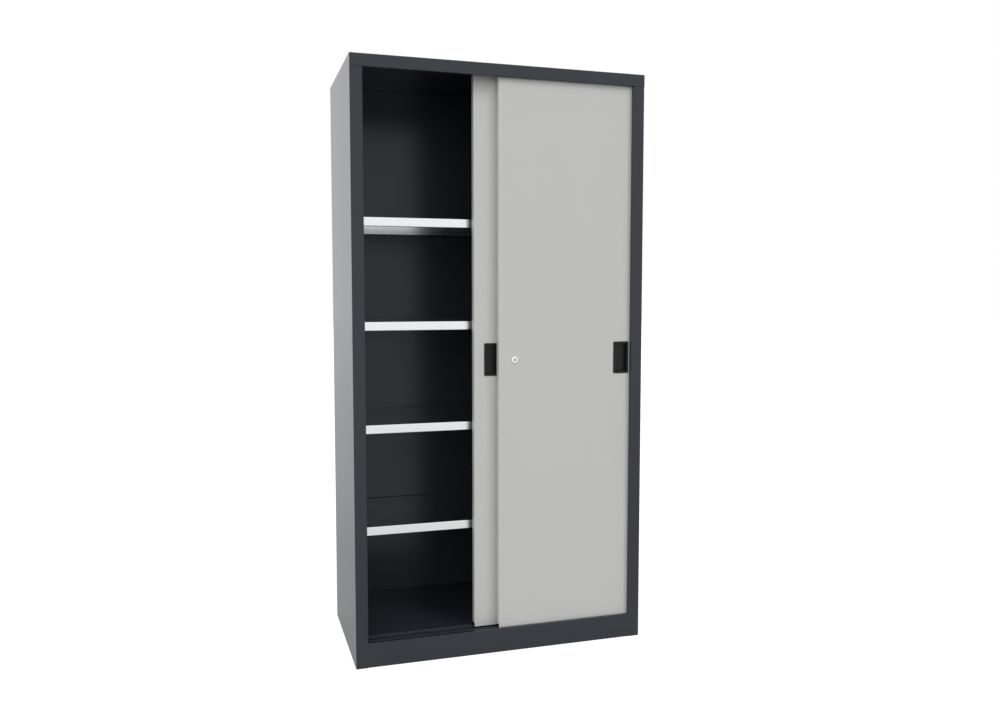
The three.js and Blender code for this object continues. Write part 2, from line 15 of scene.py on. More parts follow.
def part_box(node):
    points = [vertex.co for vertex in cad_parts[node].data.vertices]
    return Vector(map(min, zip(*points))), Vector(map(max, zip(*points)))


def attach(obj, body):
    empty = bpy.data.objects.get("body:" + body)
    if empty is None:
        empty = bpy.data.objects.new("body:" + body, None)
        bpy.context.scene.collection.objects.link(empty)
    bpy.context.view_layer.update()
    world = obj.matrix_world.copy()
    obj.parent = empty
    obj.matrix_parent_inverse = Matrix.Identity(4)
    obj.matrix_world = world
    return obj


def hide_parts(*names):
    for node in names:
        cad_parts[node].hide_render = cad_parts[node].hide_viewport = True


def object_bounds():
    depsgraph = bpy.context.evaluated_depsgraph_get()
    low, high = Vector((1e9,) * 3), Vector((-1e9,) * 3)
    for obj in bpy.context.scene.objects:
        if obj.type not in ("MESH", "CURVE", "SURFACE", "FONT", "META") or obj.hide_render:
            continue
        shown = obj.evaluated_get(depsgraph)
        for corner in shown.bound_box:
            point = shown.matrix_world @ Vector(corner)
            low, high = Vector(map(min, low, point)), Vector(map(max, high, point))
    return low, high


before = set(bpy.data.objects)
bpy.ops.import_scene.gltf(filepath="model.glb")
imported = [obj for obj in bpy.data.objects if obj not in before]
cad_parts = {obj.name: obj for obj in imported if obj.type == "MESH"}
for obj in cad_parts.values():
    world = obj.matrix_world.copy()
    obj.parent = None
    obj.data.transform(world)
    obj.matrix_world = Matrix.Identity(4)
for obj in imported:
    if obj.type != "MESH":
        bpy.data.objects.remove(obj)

cad_low, cad_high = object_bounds()

# Camera
# It stands where the photograph was taken from, 1.2 m up and a little to the left of the cabinet.
# The place and angles were solved from the cabinet's own edges.
camera_place = (-0.8782, -3.0733, 1.2144)
camera_yaw = -17.06
camera_pitch = -4.15
camera_lens = 32.17

camera_data = bpy.data.cameras.new("camera")
camera_data.lens = camera_lens
camera = bpy.data.objects.new("camera", camera_data)
camera.location = camera_place
camera.rotation_euler = (math.radians(90 + camera_pitch), 0, math.radians(camera_yaw))
bpy.context.scene.collection.objects.link(camera)
bpy.context.scene.camera = camera
bpy.context.scene.view_settings.view_transform = "Standard"

# Studio
# A plain white floor without an edge, soft lamps from the front right and left, and pale light all round.
# Only what the camera sees directly is pure white. What the coats mirror is set apart, by direction.
floor_reach = 30

# The floor glows to pure white for the camera, and in mirrors it is paler further out
floor_colour = "#bababa"
floor_glow = 0.78
near_distance = 1
near_sheen = 0.38
far_distance = 12
far_sheen = 0.59

# The light that falls on the cabinet from all round, and how bright the same surroundings are in mirrors
ambient_level = 0.56
mirror_level_high = 1.15
mirror_level_low = 0.9
mirror_level_behind = 1.12

# The parts of a direction, upwards and towards the back, at which each of those levels is reached
low_rise = -0.2
high_rise = 0.5
front_depth = -0.2
behind_depth = 0.8

# A lamp's name, its level, its width in degrees and where its light goes
lamps = (
    ("key_lamp", 0.8, 25, (-0.45, 0.62, -0.65)),
    ("fill_lamp", 1.6, 90, (0.72, 0.66, -0.25)),
)


def linear(colour):
    """The linear value of an sRGB hex colour, with full alpha."""
    parts = [int(colour[i : i + 2], 16) / 255 for i in (1, 3, 5)]
    return (*(p / 12.92 if p <= 0.04045 else ((p + 0.055) / 1.055) ** 2.4 for p in parts), 1)


def add(tree, kind, links=(), inputs=(), **settings):
    """A node with its settings, its plain socket values and the sockets that are linked to it."""
    made = tree.nodes.new(kind)
    for name, value in settings.items():
        setattr(made, name, value)
    for socket, value in dict(inputs).items():
        made.inputs[socket].default_value = value
    for socket, source in dict(links).items():
        tree.links.new(source, made.inputs[socket])
    return made


def node_material(name):
    """An empty node material."""
    material = bpy.data.materials.new(name)
    material.use_nodes = True
    material.node_tree.nodes.clear()
    return material


floor_paint = node_material("matt_white_floor_paint")
tree = floor_paint.node_tree
path = add(tree, "ShaderNodeLightPath").outputs
matt = add(tree, "ShaderNodeBsdfDiffuse", inputs={"Color": linear(floor_colour)}).outputs[0]
place = add(tree, "ShaderNodeTexCoord").outputs["Object"]
distance = add(tree, "ShaderNodeVectorMath", links={0: place}, operation="LENGTH").outputs["Value"]
spread = add(
    tree,
    "ShaderNodeMapRange",
    links={"Value": distance},
    inputs={"From Min": near_distance, "From Max": far_distance, "To Min": near_sheen, "To Max": far_sheen},
).outputs[0]
sheen = add(
    tree,
    "ShaderNodeMath",
    links={0: path["Is Glossy Ray"], 1: spread},
    operation="MULTIPLY",
).outputs[0]
extra = add(
    tree,
    "ShaderNodeMath",
    links={0: path["Is Camera Ray"], 2: sheen},
    inputs={1: floor_glow},
    operation="MULTIPLY_ADD",
).outputs[0]
glow = add(tree, "ShaderNodeEmission", links={"Strength": extra}).outputs[0]
both = add(tree, "ShaderNodeAddShader", links={0: matt, 1: glow}).outputs[0]
add(tree, "ShaderNodeOutputMaterial", links={"Surface": both})

floor_mesh = bpy.data.meshes.new("floor")
corner_signs = ((-1, -1), (1, -1), (1, 1), (-1, 1))
floor_corners = [(x * floor_reach, y * floor_reach, 0) for x, y in corner_signs]
floor_mesh.from_pydata(floor_corners, [], [(0, 1, 2, 3)])
floor_mesh.materials.append(floor_paint)
floor = bpy.data.objects.new("floor", floor_mesh)
bpy.context.scene.collection.objects.link(floor)

world = bpy.data.worlds.new("studio")
world.use_nodes = True
world.node_tree.nodes.clear()
tree = world.node_tree
path = add(tree, "ShaderNodeLightPath").outputs
direction = add(tree, "ShaderNodeTexCoord").outputs["Generated"]
direction = add(tree, "ShaderNodeSeparateXYZ", links={0: direction}).outputs
ahead = add(
    tree,
    "ShaderNodeMapRange",
    links={"Value": direction["Z"]},
    inputs={
        "From Min": low_rise,
        "From Max": high_rise,
        "To Min": mirror_level_low,
        "To Max": mirror_level_high,
    },
).outputs[0]
mirrored = add(
    tree,
    "ShaderNodeMapRange",
    links={"Value": direction["Y"], "To Min": ahead},
    inputs={"From Min": front_depth, "From Max": behind_depth, "To Max": mirror_level_behind},
).outputs[0]
mirror_ray = add(
    tree,
    "ShaderNodeMath",
    links={0: path["Is Glossy Ray"], 1: path["Is Transmission Ray"]},
    operation="MAXIMUM",
).outputs[0]
unseen = add(
    tree,
    "ShaderNodeMix",
    links={"Factor": mirror_ray, "B": mirrored},
    inputs={"A": ambient_level},
    data_type="FLOAT",
).outputs[0]
strength = add(
    tree,
    "ShaderNodeMix",
    links={"Factor": path["Is Camera Ray"], "A": unseen},
    inputs={"B": 1},
    data_type="FLOAT",
).outputs[0]
white = (1, 1, 1, 1)
sky = add(tree, "ShaderNodeBackground", links={"Strength": strength}, inputs={"Color": white}).outputs[0]
add(tree, "ShaderNodeOutputWorld", links={"Surface": sky})
bpy.context.scene.world = world

for lamp_name, level, width, towards in lamps:
    lamp_data = bpy.data.lights.new(lamp_name, "SUN")
    lamp_data.energy = level
    lamp_data.angle = math.radians(width)
    lamp = bpy.data.objects.new(lamp_name, lamp_data)
    lamp.rotation_euler = Vector(towards).to_track_quat("-Z", "Y").to_euler()
    lamp.visible_glossy = False
    bpy.context.scene.collection.objects.link(lamp)

# Casing
# Roof, sides, back, plinth and floor are 1.2 mm steel, cut flat, folded on a press brake and spot welded.
# The casing is powder coated anthracite in one piece, so all its sheets share one finish.
sheet = 0.0012
bend_radius = 0.001
bend_steps = 8
stile_width = 0.04
rail_height = 0.04
plinth_height = 0.0805
frame_return = 0.0135
rear_flange = 0.018
base_flange = 0.02
floor_drop = 0.0005
floor_flange = 0.02
sill_drop = 0.0083
sill_depth = 0.067
fold = sheet + bend_radius
smooth_angle = math.radians(30)

# Sheets that meet are a seam apart, and a cut overruns the face that it starts from
seam = 0.0003
overrun = 0.005

half_width = cad_high.x
front_y, back_y = cad_low.y, cad_high.y
top_z = cad_high.z
inner_x = half_width - sheet - seam
rail_lower = top_z - rail_height
sill_top = plinth_height - sill_drop
floor_top = plinth_height - floor_drop
back_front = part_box("back_panel")[0].y
both_sides = (("left", -1), ("right", 1))


def powder_coat(name, colour, shade, ior, roughness):
    """Baked polyester powder on steel: even colour, satin gloss and the faint waves called orange peel."""
    material = node_material(name)
    tree = material.node_tree
    place = add(tree, "ShaderNodeTexCoord").outputs["Object"]
    cloud = add(
        tree,
        "ShaderNodeTexNoise",
        links={"Vector": place},
        inputs={"Scale": 1 / cloud_size, "Detail": cloud_detail},
    ).outputs["Fac"]
    tint = add(
        tree,
        "ShaderNodeMix",
        links={"Factor": cloud},
        inputs={"A": linear(shade), "B": linear(colour)},
        data_type="RGBA",
    ).outputs["Result"]
    gloss = add(
        tree,
        "ShaderNodeMapRange",
        links={"Value": cloud},
        inputs={"To Min": roughness - gloss_spread, "To Max": roughness + gloss_spread},
    ).outputs[0]
    peel = add(
        tree,
        "ShaderNodeTexNoise",
        links={"Vector": place},
        inputs={"Scale": 1 / peel_size, "Detail": peel_detail},
    ).outputs["Fac"]
    waves = add(
        tree,
        "ShaderNodeBump",
        links={"Height": peel},
        inputs={"Strength": 1, "Distance": peel_depth},
    ).outputs[0]
    paint = add(
        tree,
        "ShaderNodeBsdfPrincipled",
        links={"Base Color": tint, "Roughness": gloss, "Normal": waves},
        inputs={"IOR": ior},
    ).outputs[0]
    add(tree, "ShaderNodeOutputMaterial", links={"Surface": paint})
    return material


# Polyester resin has an IOR of 1.5 and a satin coat a roughness near 0.3. The anthracite is matched from
# there to the photograph, where it mirrors a little less and a little more sharply.
# Its colour and gloss drift faintly over about 12 cm, as the powder falls a little thicker or thinner.
# The waves of orange peel are 2 to 4 mm long and about a hundredth of a millimetre deep.
cloud_size = 0.12
cloud_detail = 3
gloss_spread = 0.01
peel_size = 0.003
peel_detail = 2
peel_depth = 0.000012
anthracite = powder_coat(
    "anthracite_powder_coat_on_steel", colour="#2b3037", shade="#2a2f36", ior=1.42, roughness=0.26
)


def bent_section(path, thickness=sheet, radius=bend_radius):
    """The outline of a folded sheet: the path follows one face, and the metal lies on its left."""
    corners = [complex(*corner) for corner in path]
    runs = [(after - before) / abs(after - before) for before, after in zip(corners, corners[1:])]
    face = [corners[0]]
    lining = [corners[0] + 1j * runs[0] * thickness]
    for corner, before, after in zip(corners[1:], runs, runs[1:]):
        angle = cmath.phase(after / before)
        inside = math.copysign(1, angle)
        face_radius = radius + thickness if inside > 0 else radius
        lining_radius = radius if inside > 0 else radius + thickness
        start = corner - before * face_radius * math.tan(abs(angle) / 2)
        centre = start + 1j * inside * before * face_radius
        for step in range(bend_steps + 1):
            spoke = -1j * inside * before * cmath.exp(1j * angle * step / bend_steps)
            face.append(centre + spoke * face_radius)
            lining.append(centre + spoke * lining_radius)
    face.append(corners[-1])
    lining.append(corners[-1] + 1j * runs[-1] * thickness)
    return face + lining[::-1]


def on_side(side, path):
    """A section drawn for the right side, or its mirror image for the left."""
    return path if side > 0 else [(-x, other) for x, other in reversed(path)]


def to_object(name, mesh_maker):
    """A new object from a bmesh, linked to the scene."""
    mesh = bpy.data.meshes.new(name)
    bmesh.ops.recalc_face_normals(mesh_maker, faces=mesh_maker.faces)
    mesh_maker.to_mesh(mesh)
    mesh_maker.free()
    piece = bpy.data.objects.new(name, mesh)
    bpy.context.scene.collection.objects.link(piece)
    return piece


def extrusion(name, axis, outline, start, end):
    """An outline in Y and Z run along X, one in X and Z along Y, or one in X and Y along Z."""
    order = {"x": (2, 0, 1), "y": (0, 2, 1), "z": (0, 1, 2)}[axis]
    mesh_maker = bmesh.new()
    rings = []
    for level in (start, end):
        places = [(point.real, point.imag, level) for point in outline]
        rings.append([mesh_maker.verts.new([place[i] for i in order]) for place in places])
    for i in range(len(outline)):
        mesh_maker.faces.new((rings[0][i - 1], rings[0][i], rings[1][i], rings[1][i - 1]))
    for ring in rings:
        mesh_maker.faces.new(ring)
    return to_object(name, mesh_maker)


def blocks(name, *spans):
    """Blocks in one object, each between pairs of values on X, Y and Z, in either order."""
    mesh_maker = bmesh.new()
    for block in spans:
        made = bmesh.ops.create_cube(mesh_maker, size=1)
        for vert in made["verts"]:
            vert.co = [max(span) if part > 0 else min(span) for part, span in zip(vert.co, block)]
    return to_object(name, mesh_maker)


def apply_modifiers(piece):
    """Makes a piece's modifiers part of its mesh."""
    shape = piece.evaluated_get(bpy.context.evaluated_depsgraph_get())
    mesh = bpy.data.meshes.new_from_object(shape)
    piece.modifiers.clear()
    piece.data = mesh


def combine(piece, operation, *others):
    """Joins other solids to a piece (UNION) or cuts them out of it (DIFFERENCE), and removes them."""
    for other in others:
        step = piece.modifiers.new(operation, "BOOLEAN")
        step.operation = operation
        step.solver = "EXACT"
        step.object = other
    apply_modifiers(piece)
    for other in others:
        bpy.data.objects.remove(other)


def finish(piece, body, material, node):
    """Smooths the bends but not the edges, gives the piece its finish and puts it in its node's place."""
    piece.data.materials.clear()
    piece.data.materials.append(material)
    piece.data.shade_smooth()
    piece.data.set_sharp_from_angle(angle=smooth_angle)
    flat = piece.modifiers.new("flat faces stay flat", "WEIGHTED_NORMAL")
    flat.keep_sharp = True
    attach(piece, body)
    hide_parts(node)


along_y = Matrix.Rotation(math.pi / 2, 4, "X")


def disc(mesh_maker, centre, radius, half_length, sides):
    """Adds a round plug along Y, about a centre."""
    bmesh.ops.create_cone(
        mesh_maker,
        cap_ends=True,
        segments=sides,
        radius1=radius,
        radius2=radius,
        depth=2 * half_length,
        matrix=Matrix.Translation(centre) @ along_y,
    )


# The back panel is spot welded to the rear flanges, and each weld leaves a shallow round dent outside
weld_pitch = 0.12
weld_radius = 0.003
weld_depth = 0.0002
weld_inset = 0.009
weld_sides = 16
weld_rows = int(top_z / weld_pitch)

for side_name, side in both_sides:
    wall_path = [
        (half_width - stile_width, front_y + frame_return),
        (half_width - stile_width, front_y),
        (half_width, front_y),
        (half_width, back_y),
        (half_width - rear_flange, back_y),
    ]
    wall_section = bent_section(on_side(side, wall_path))
    wall = extrusion(f"{side_name}_side_sheet", "z", wall_section, 0, top_z - sheet - seam)
    foot = blocks(
        "foot",
        (
            (side * (half_width - sheet / 2), side * (half_width - base_flange)),
            (front_y + frame_return + seam, back_front - seam),
            (0, sheet),
        ),
    )
    combine(wall, "UNION", foot)

    # The roof's rail and rear flange take the place of the wall's folded edges at the top
    for edge_y, inward, reach, depth, low_z in (
        (front_y, 1, stile_width, frame_return, rail_lower),
        (back_y, -1, rear_flange, fold, top_z - rear_flange),
    ):
        outer = edge_y - inward * overrun
        far_x = side * (half_width - reach - overrun)
        above = (low_z - seam, top_z + overrun)
        skin_notch = (
            (side * (half_width + overrun), far_x),
            (outer, edge_y + inward * (sheet + seam)),
            above,
        )
        inner_notch = (
            (side * (half_width - sheet), far_x),
            (outer, edge_y + inward * (depth + overrun)),
            above,
        )
        combine(wall, "DIFFERENCE", blocks("skin_notch", skin_notch), blocks("inner_notch", inner_notch))

    dents = bmesh.new()
    for row in range(1, weld_rows):
        spot = (side * (half_width - weld_inset), back_y, top_z * row / weld_rows)
        disc(dents, spot, weld_radius, weld_depth, weld_sides)
    combine(wall, "DIFFERENCE", to_object("dents", dents))
    finish(wall, "cabinet", anthracite, f"{side_name}_side_panel")

roof_path = [
    (back_y, top_z - rear_flange),
    (back_y, top_z),
    (front_y, top_z),
    (front_y, rail_lower),
    (front_y + frame_return, rail_lower),
]
roof = extrusion("roof_sheet", "x", bent_section(roof_path), -half_width, half_width)

# The walls reach up to the roof sheet, between its rail and its rear flange
wall_slots = [
    (
        (side * inner_x, side * (half_width + overrun)),
        (front_y + sheet, back_y - sheet),
        (rail_lower - overrun, top_z - sheet),
    )
    for _, side in both_sides
]
combine(roof, "DIFFERENCE", blocks("wall_slots", *wall_slots))
finish(roof, "cabinet", anthracite, "roof_panel")

plinth_path = [
    (front_y + frame_return, sill_top + seam),
    (front_y + frame_return, plinth_height),
    (front_y, plinth_height),
    (front_y, 0),
    (front_y + base_flange, 0),
]
# The plinth's ends lie over the stiles' bends and are welded and ground flush, so no joint shows
plinth_half = half_width - stile_width
plinth_end = plinth_half + fold
plinth = extrusion("plinth_sheet", "x", bent_section(plinth_path), -plinth_end, plinth_end)
finish(plinth, "cabinet", anthracite, "plinth_panel")

sill_front = front_y + sheet + seam
floor_front = front_y + sill_depth
floor_back = back_front - seam
floor_path = [
    (floor_back, floor_top - floor_flange),
    (floor_back, floor_top),
    (floor_front, floor_top),
    (floor_front, sill_top),
    (sill_front, sill_top),
    (sill_front, sill_top - floor_flange),
]
cabinet_floor = extrusion("floor_sheet", "x", bent_section(floor_path), -inner_x, inner_x)
side_flanges = [
    (
        (side * inner_x, side * (inner_x - sheet)),
        (floor_front + fold, floor_back - fold),
        (floor_top - floor_flange, floor_top - sheet / 2),
    )
    for _, side in both_sides
]
stile_notches = [
    (
        (side * plinth_half, side * (half_width + overrun)),
        (front_y - overrun, front_y + frame_return + seam),
        (0, plinth_height),
    )
    for _, side in both_sides
]
combine(cabinet_floor, "UNION", blocks("side_flanges", *side_flanges))
combine(cabinet_floor, "DIFFERENCE", blocks("stile_notches", *stile_notches))
finish(cabinet_floor, "cabinet", anthracite, "floor_panel")

back = blocks("back_sheet", tuple(zip(*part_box("back_panel"))))
finish(back, "cabinet", anthracite, "back_panel")

# Tracks
# The doors roll on two narrow rails of 1 mm sheet, bent to a U upside down and spot welded to the sill.
# Over each is a channel of galvanised sheet, welded under the roof, that keeps the door upright.
rail_sheet = 0.001
rail_bend = 0.0006


def galvanised_sheet(name, colour, roughness, spangle_size):
    """Zinc coated steel: a bright metal whose crystals each turn the light a little differently."""
    material = node_material(name)
    tree = material.node_tree
    place = add(tree, "ShaderNodeTexCoord").outputs["Object"]
    crystals = add(
        tree,
        "ShaderNodeTexVoronoi",
        links={"Vector": place},
        inputs={"Scale": 1 / spangle_size},
    ).outputs["Color"]
    crystal = add(tree, "ShaderNodeSeparateColor", links={"Color": crystals}).outputs
    gloss = add(
        tree,
        "ShaderNodeMapRange",
        links={"Value": crystal[0]},
        inputs={"To Min": roughness - spangle_spread, "To Max": roughness + spangle_spread},
    ).outputs[0]
    tint = add(
        tree,
        "ShaderNodeMix",
        links={"Factor": crystal[1]},
        inputs={"A": linear(colour), "B": linear(zinc_shade)},
        data_type="RGBA",
    ).outputs["Result"]
    grain = add(
        tree,
        "ShaderNodeTexNoise",
        links={"Vector": place},
        inputs={"Scale": 1 / rolling_grain, "Detail": rolling_detail},
    ).outputs["Fac"]
    relief = add(
        tree,
        "ShaderNodeBump",
        links={"Height": grain},
        inputs={"Strength": 1, "Distance": rolling_relief},
    ).outputs[0]
    metal = add(
        tree,
        "ShaderNodeBsdfPrincipled",
        links={"Base Color": tint, "Roughness": gloss, "Normal": relief},
        inputs={"Metallic": 1},
    ).outputs[0]
    add(tree, "ShaderNodeOutputMaterial", links={"Surface": metal})
    return material


# Zinc is a bright, slightly blue metal. A skin-passed coat has a roughness near 0.35, matched down to 0.2
# to the photograph, where the shelves shine. Its crystals are 6 to 10 mm across and stand out only faintly.
# The grain that the rolls leave is about 0.1 mm, and is drawn at 1.5 mm to show.
zinc_shade = "#ebeced"
spangle_spread = 0.01
rolling_grain = 0.0015
rolling_detail = 4
rolling_relief = 0.000004
galvanised = galvanised_sheet(
    "galvanised_steel_skin_passed", colour="#eeeff0", roughness=0.2, spangle_size=0.008
)


def arch(low, high):
    """The path of a U turned upside down, in Y and Z, round the top of a box."""
    return [(high.y, low.z), (high.y, high.z), (low.y, high.z), (low.y, low.z)]


for track in ("front", "rear"):
    low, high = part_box(f"{track}_bottom_rail")
    rail_section = bent_section(arch(low, high), rail_sheet, rail_bend)
    rail = extrusion(f"{track}_rail_sheet", "x", rail_section, low.x, high.x)
    finish(rail, "cabinet", anthracite, f"{track}_bottom_rail")

    low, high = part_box(f"{track}_top_channel")
    channel = extrusion(f"{track}_channel_sheet", "x", bent_section(arch(low, high)), low.x, high.x)
    finish(channel, "cabinet", galvanised, f"{track}_top_channel")

# Door buffers
# Moulded black rubber blocks on the side walls, with soft edges and three grooves across.
# They are stuck on, and stop both doors.
buffer_edge = 0.0005
buffer_grooves = 3
groove_width = 0.003
groove_depth = 0.0015


def fine_grained(name, colour, shade, roughness, grain_size, grain_depth, sockets):
    """An even surface with the fine grain that a mould or polishing leaves, which tints it faintly."""
    material = node_material(name)
    tree = material.node_tree
    place = add(tree, "ShaderNodeTexCoord").outputs["Object"]
    grain = add(
        tree,
        "ShaderNodeTexNoise",
        links={"Vector": place},
        inputs={"Scale": 1 / grain_size, "Detail": grain_detail},
    ).outputs["Fac"]
    relief = add(
        tree,
        "ShaderNodeBump",
        links={"Height": grain},
        inputs={"Strength": 1, "Distance": grain_depth},
    ).outputs[0]
    tint = add(
        tree,
        "ShaderNodeMix",
        links={"Factor": grain},
        inputs={"A": linear(shade), "B": linear(colour)},
        data_type="RGBA",
    ).outputs["Result"]
    gloss = add(
        tree,
        "ShaderNodeMapRange",
        links={"Value": grain},
        inputs={"To Min": roughness - gloss_spread, "To Max": roughness + gloss_spread},
    ).outputs[0]
    body = add(
        tree,
        "ShaderNodeBsdfPrincipled",
        links={"Base Color": tint, "Roughness": gloss, "Normal": relief},
        inputs=sockets,
    ).outputs[0]
    add(tree, "ShaderNodeOutputMaterial", links={"Surface": body})
    return material


def about(middle, half):
    """The two ends of a span, from its middle and half its length."""
    return (middle - half, middle + half)


def outer_and_inner(low, high, side):
    """A box's two values on X, with the one nearer its side wall first."""
    return (high.x, low.x) if side > 0 else (low.x, high.x)


def soften(piece, radius, segments=3):
    """Rounds every sharp edge of a piece, as a mould or a tumbling drum leaves it."""
    rounding = piece.modifiers.new("rounding", "BEVEL")
    rounding.width = radius
    rounding.segments = segments
    rounding.limit_method = "ANGLE"
    rounding.angle_limit = smooth_angle
    rounding.miter_outer = "MITER_ARC"
    apply_modifiers(piece)


# Vulcanised rubber is dull, with an IOR near 1.52 and a roughness near 0.7. Its grain of about 0.3 mm is
# drawn at 1.2 mm to show.
grain_detail = 3
black_rubber = fine_grained(
    "black_rubber_moulded",
    colour="#191919",
    shade="#121212",
    roughness=0.72,
    grain_size=0.0012,
    grain_depth=0.00002,
    sockets={"IOR": 1.52},
)

for side_name, side in both_sides:
    low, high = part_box(f"{side_name}_door_buffer")
    buffer = blocks(f"{side_name}_buffer_moulding", tuple(zip(low, high)))
    face_x = outer_and_inner(low, high, side)[1]
    grooves = []
    for number in range(1, buffer_grooves + 1):
        level = low.z + (high.z - low.z) * number / (buffer_grooves + 1)
        across = (low.y - overrun, high.y + overrun)
        inwards = (face_x - side * overrun, face_x + side * groove_depth)
        grooves.append((inwards, across, about(level, groove_width / 2)))
    combine(buffer, "DIFFERENCE", blocks("grooves", *grooves))
    soften(buffer, buffer_edge)
    finish(buffer, "cabinet", black_rubber, f"{side_name}_door_buffer")

# Uprights
# Four channels of galvanised sheet are spot welded to the side walls, open towards the wall.
# Slots are punched up their face, one every 34 mm, to take the shelf clips.
slot_pitch = 0.034
slot_width = 0.012
slot_height = 0.004
slot_margin = 0.02
clip_top_gap = 0.0005

for side_name, side in both_sides:
    for depth_name in ("front", "rear"):
        low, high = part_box(f"{depth_name}_{side_name}_upright")
        wall_x, face_x = outer_and_inner(low, high, side)
        outer, inner = abs(wall_x), abs(face_x)
        open_path = [(outer, high.y), (inner, high.y), (inner, low.y), (outer, low.y)]
        section = bent_section(on_side(side, open_path))
        upright = extrusion(f"{depth_name}_{side_name}_upright_sheet", "z", section, low.z, high.z)
        clip_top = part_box(f"shelf_1_clip_{depth_name}_{side_name}")[1].z
        slot_top = clip_top + clip_top_gap
        middle = (low.y + high.y) / 2
        below = int((clip_top - low.z - slot_margin) / slot_pitch)
        above = int((high.z - clip_top - slot_margin) / slot_pitch)
        slots = [
            (
                (face_x - side * overrun, face_x + side * (sheet + bend_radius / 2)),
                about(middle, slot_width / 2),
                (slot_top + step * slot_pitch - slot_height, slot_top + step * slot_pitch),
            )
            for step in range(-below, above + 1)
        ]
        combine(upright, "DIFFERENCE", blocks("slots", *slots))
        finish(upright, "cabinet", galvanised, f"{depth_name}_{side_name}_upright")

# Shelves
# Each is a pan of bright galvanised sheet, folded down on all four sides with lips turned in underneath.
# It lies loose on four bent clips that hook into the uprights' slots.
shelf_count = 4
shelf_lip = 0.012
shelf_corner = 0.004
clip_plate = 0.0018
clip_hook_drop = 0.007
clip_edge = 0.0002

for number in range(1, shelf_count + 1):
    low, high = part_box(f"shelf_{number}")
    pan_path = [
        (high.y - shelf_lip, low.z),
        (high.y, low.z),
        (high.y, high.z),
        (low.y, high.z),
        (low.y, low.z),
        (low.y + shelf_lip, low.z),
    ]
    shelf = extrusion(f"shelf_{number}_sheet", "x", bent_section(pan_path), low.x, high.x)
    for side_name, side in both_sides:
        end_x = outer_and_inner(low, high, side)[0]
        end_path = [(end_x - side * shelf_lip, low.z), (end_x, low.z), (end_x, high.z - sheet / 2)]
        end_section = bent_section(end_path if side > 0 else end_path[::-1])
        end = extrusion("end", "y", end_section, low.y + shelf_corner, high.y - shelf_corner)
        combine(shelf, "UNION", end)
    finish(shelf, "cabinet", galvanised, f"shelf_{number}")

    for side_name, side in both_sides:
        for depth_name in ("front", "rear"):
            node = f"shelf_{number}_clip_{depth_name}_{side_name}"
            low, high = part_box(node)
            hook_x, tab_x = outer_and_inner(low, high, side)
            upright_x = outer_and_inner(*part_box(f"{depth_name}_{side_name}_upright"), side)[1]
            face_x = upright_x - side * seam
            hook = (
                (hook_x, hook_x - side * clip_plate),
                (low.y, high.y),
                (high.z - clip_hook_drop, high.z - clip_plate / 2),
            )
            tab = ((hook_x, tab_x), (low.y, high.y), (high.z - clip_plate, high.z))
            leg_xs = (face_x, face_x - side * clip_plate)
            leg = (leg_xs, (low.y, high.y), (low.z, high.z - clip_plate / 2))
            clip = blocks(f"{node}_bent", tab)
            combine(clip, "UNION", blocks("hook", hook), blocks("leg", leg))
            soften(clip, clip_edge, segments=2)
            finish(clip, "cabinet", galvanised, node)

# Doors
# Each is a 25 mm deep pan of 1.2 mm steel, its edges folded back, with a flange across top and bottom.
# The skin runs on below the bottom flange as an apron that hides the rollers. A hat section stiffens it.
door_lip = 0.012
apron_height = 0.0125
bracket_half = 0.022
bracket_gap = 0.001
handle_rim = 0.007
handle_wall = 0.0015
stiffener_width = 0.04
stiffener_depth = 0.02
barrel_radius = 0.0085
bar_sides = 48
door_names = ("rear", "front")

# The doors' coat has the usual IOR and roughness of a satin polyester powder
light_grey = powder_coat(
    "light_grey_powder_coat_on_steel", colour="#c6c7c4", shade="#c4c5c2", ior=1.5, roughness=0.3
)


def centre_of(node):
    """The middle of a node's box."""
    low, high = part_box(node)
    return (low + high) / 2


def turned_ring(name, centre, profile, sides):
    """A ring turned about Y: its profile is closed, in radii and places along the axis."""
    mesh_maker = bmesh.new()
    rings = []
    for step in range(sides):
        spoke = cmath.rect(1, 2 * math.pi * step / sides)
        across = Vector((spoke.real, 0, spoke.imag))
        places = [Vector((centre.x, along, centre.z)) + across * radius for radius, along in profile]
        rings.append([mesh_maker.verts.new(place) for place in places])
    for number, ring in enumerate(rings):
        before = rings[number - 1]
        for i in range(len(profile)):
            mesh_maker.faces.new((before[i - 1], before[i], ring[i], ring[i - 1]))
    return to_object(name, mesh_maker)


def round_bar(name, centre, radius, near, far, sides=bar_sides):
    """A round bar along Y about a centre."""
    mesh_maker = bmesh.new()
    middle = Vector((centre.x, (near + far) / 2, centre.z))
    disc(mesh_maker, middle, radius, (far - near) / 2, sides)
    return to_object(name, mesh_maker)


